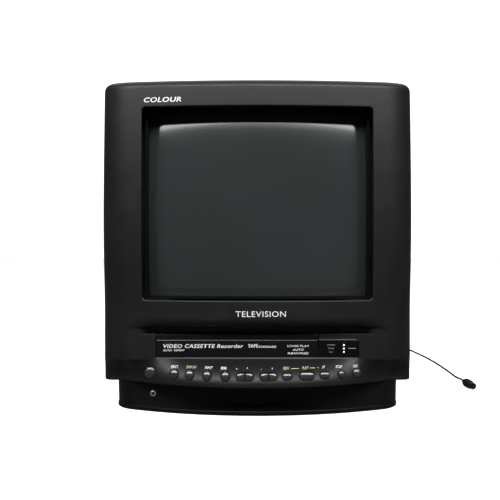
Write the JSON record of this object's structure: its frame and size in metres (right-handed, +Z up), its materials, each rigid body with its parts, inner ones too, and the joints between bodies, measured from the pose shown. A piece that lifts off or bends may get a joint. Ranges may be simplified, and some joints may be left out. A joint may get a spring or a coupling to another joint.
{
  "type": "cathode ray tube television",
  "caption": "Box-shaped cathode ray tube television with a cassette slot behind a hinged flap, push keys under the screen, a tapering rear cover and a loose aerial lead.",
  "frame": {"origin": "middle of the footprint, at the underside of the feet, without the aerial lead", "axes": "+X to the right seen from the front, +Y towards the back, +Z up"},
  "size_m": [0.49, 0.5011, 0.3965],
  "materials": {
    "cabinet": "fine-grained black moulding",
    "base": "dull black moulding",
    "panel": "polished black",
    "key": "glossy black",
    "rubber": "dull",
    "plug": "moulded black",
    "screen_glass": "polished dark grey-green",
    "bare_glass": "coated",
    "steel": "plain",
    "aluminium": "plain",
    "chrome": "polished",
    "copper": "wound wire",
    "board": "plain laminate",
    "black_part": "moulded",
    "magnet": "dull",
    "paper": "pressed paper"
  },
  "bodies": {
    "set": {"front_cabinet": "cabinet", "rear_cover": "cabinet", "base_tray": "base", "indicator_window": "panel", "foot_front_left": "rubber", "foot_front_right": "rubber", "foot_rear_left": "rubber", "foot_rear_right": "rubber", "anode_cap": "rubber", "anode_lead": "rubber", "lead_grommet": "rubber", "aerial_lead": "rubber", "aerial_plug": "plug", "tube_panel": "screen_glass", "tube_funnel": "bare_glass", "shadow_mask": "steel", "tension_band": "steel", "electron_gun": "steel", "tuner_module": "steel", "deck_chassis": "steel", "head_drum_base": "steel", "loading_motor": "steel", "heatsink": "aluminium", "headphone_jack": "chrome", "deflection_yoke": "copper", "key_board": "board", "neck_board": "board", "main_board": "board", "degaussing_coil": "black_part", "flyback_transformer": "black_part", "power_transformer": "black_part", "mains_capacitor": "black_part", "av_socket_panel": "black_part", "mains_inlet": "black_part", "neck_magnet_rings": "magnet", "speaker_basket": "magnet", "speaker_cone": "paper", "power_switch": "black_part"},
    "power_key": {"power_key": "key"},
    "eject_key": {"eject_key": "key"},
    "display_key": {"display_key": "key"},
    "tv_video_key": {"tv_video_key": "key"},
    "memory_key": {"memory_key": "key"},
    "channel_down_key": {"channel_down_key": "key"},
    "channel_up_key": {"channel_up_key": "key"},
    "volume_down_key": {"volume_down_key": "key"},
    "volume_up_key": {"volume_up_key": "key"},
    "rewind_key": {"rewind_key": "key"},
    "play_key": {"play_key": "key"},
    "forward_key": {"forward_key": "key"},
    "stop_key": {"stop_key": "key"},
    "record_key": {"record_key": "key"},
    "flap": {"cassette_flap": "panel"},
    "carriage": {"cassette_carriage": "steel"},
    "drum": {"head_drum": "steel"},
    "capstan": {"capstan": "steel"},
    "pinch_roller": {"pinch_roller": "rubber"},
    "supply_reel": {"supply_reel_table": "black_part"},
    "takeup_reel": {"takeup_reel_table": "black_part"}
  },
  "joints": [
    {"name": "power_press", "type": "slide", "parent": "set", "child": "power_key", "axis": [0, 1, 0], "range_m": [0, 0.0035], "stiffness_N_per_m": 400, "springref_m": -0.0004},
    {"name": "eject_press", "type": "slide", "parent": "set", "child": "eject_key", "axis": [0, 1, 0], "range_m": [0, 0.0015], "stiffness_N_per_m": 400, "springref_m": -0.0004},
    {"name": "display_press", "type": "slide", "parent": "set", "child": "display_key", "axis": [0, 1, 0], "range_m": [0, 0.0015], "stiffness_N_per_m": 400, "springref_m": -0.0004},
    {"name": "tv_video_press", "type": "slide", "parent": "set", "child": "tv_video_key", "axis": [0, 1, 0], "range_m": [0, 0.0015], "stiffness_N_per_m": 400, "springref_m": -0.0004},
    {"name": "memory_press", "type": "slide", "parent": "set", "child": "memory_key", "axis": [0, 1, 0], "range_m": [0, 0.0015], "stiffness_N_per_m": 400, "springref_m": -0.0004},
    {"name": "channel_down_press", "type": "slide", "parent": "set", "child": "channel_down_key", "axis": [0, 1, 0], "range_m": [0, 0.0015], "stiffness_N_per_m": 400, "springref_m": -0.0004},
    {"name": "channel_up_press", "type": "slide", "parent": "set", "child": "channel_up_key", "axis": [0, 1, 0], "range_m": [0, 0.0015], "stiffness_N_per_m": 400, "springref_m": -0.0004},
    {"name": "volume_down_press", "type": "slide", "parent": "set", "child": "volume_down_key", "axis": [0, 1, 0], "range_m": [0, 0.0015], "stiffness_N_per_m": 400, "springref_m": -0.0004},
    {"name": "volume_up_press", "type": "slide", "parent": "set", "child": "volume_up_key", "axis": [0, 1, 0], "range_m": [0, 0.0015], "stiffness_N_per_m": 400, "springref_m": -0.0004},
    {"name": "rewind_press", "type": "slide", "parent": "set", "child": "rewind_key", "axis": [0, 1, 0], "range_m": [0, 0.0015], "stiffness_N_per_m": 400, "springref_m": -0.0004},
    {"name": "play_press", "type": "slide", "parent": "set", "child": "play_key", "axis": [0, 1, 0], "range_m": [0, 0.0015], "stiffness_N_per_m": 400, "springref_m": -0.0004},
    {"name": "forward_press", "type": "slide", "parent": "set", "child": "forward_key", "axis": [0, 1, 0], "range_m": [0, 0.0015], "stiffness_N_per_m": 400, "springref_m": -0.0004},
    {"name": "stop_press", "type": "slide", "parent": "set", "child": "stop_key", "axis": [0, 1, 0], "range_m": [0, 0.0015], "stiffness_N_per_m": 400, "springref_m": -0.0004},
    {"name": "record_press", "type": "slide", "parent": "set", "child": "record_key", "axis": [0, 1, 0], "range_m": [0, 0.0015], "stiffness_N_per_m": 400, "springref_m": -0.0004},
    {"name": "flap_hinge", "type": "hinge", "parent": "set", "child": "flap", "pos_m": [-0.0242, -0.16175, 0.0936], "axis": [1, 0, 0], "range_deg": [0, 82], "stiffness_Nm_per_rad": 0.02, "springref_deg": -11.46},
    {"name": "carriage_slide", "type": "slide", "parent": "set", "child": "carriage", "axis": [0, 1, 0], "range_m": [0, 0.05]},
    {"name": "drum_spin", "type": "hinge", "parent": "set", "child": "drum", "pos_m": [-0.0242, 0.07305, 0.048], "axis": [0, 0.1045, 0.9945], "continuous": true},
    {"name": "capstan_spin", "type": "hinge", "parent": "set", "child": "capstan", "pos_m": [0.0418, 0.06905, 0.06], "axis": [0, 0, 1], "continuous": true},
    {"name": "pinch_roller_spin", "type": "hinge", "parent": "set", "child": "pinch_roller", "pos_m": [0.0418, 0.05105, 0.07], "axis": [0, 0, 1], "continuous": true},
    {"name": "supply_reel_spin", "type": "hinge", "parent": "set", "child": "supply_reel", "pos_m": [-0.0702, -0.01295, 0.055], "axis": [0, 0, 1], "continuous": true},
    {"name": "takeup_reel_spin", "type": "hinge", "parent": "set", "child": "takeup_reel", "pos_m": [0.0218, -0.01295, 0.055], "axis": [0, 0, 1], "continuous": true}
  ]
}
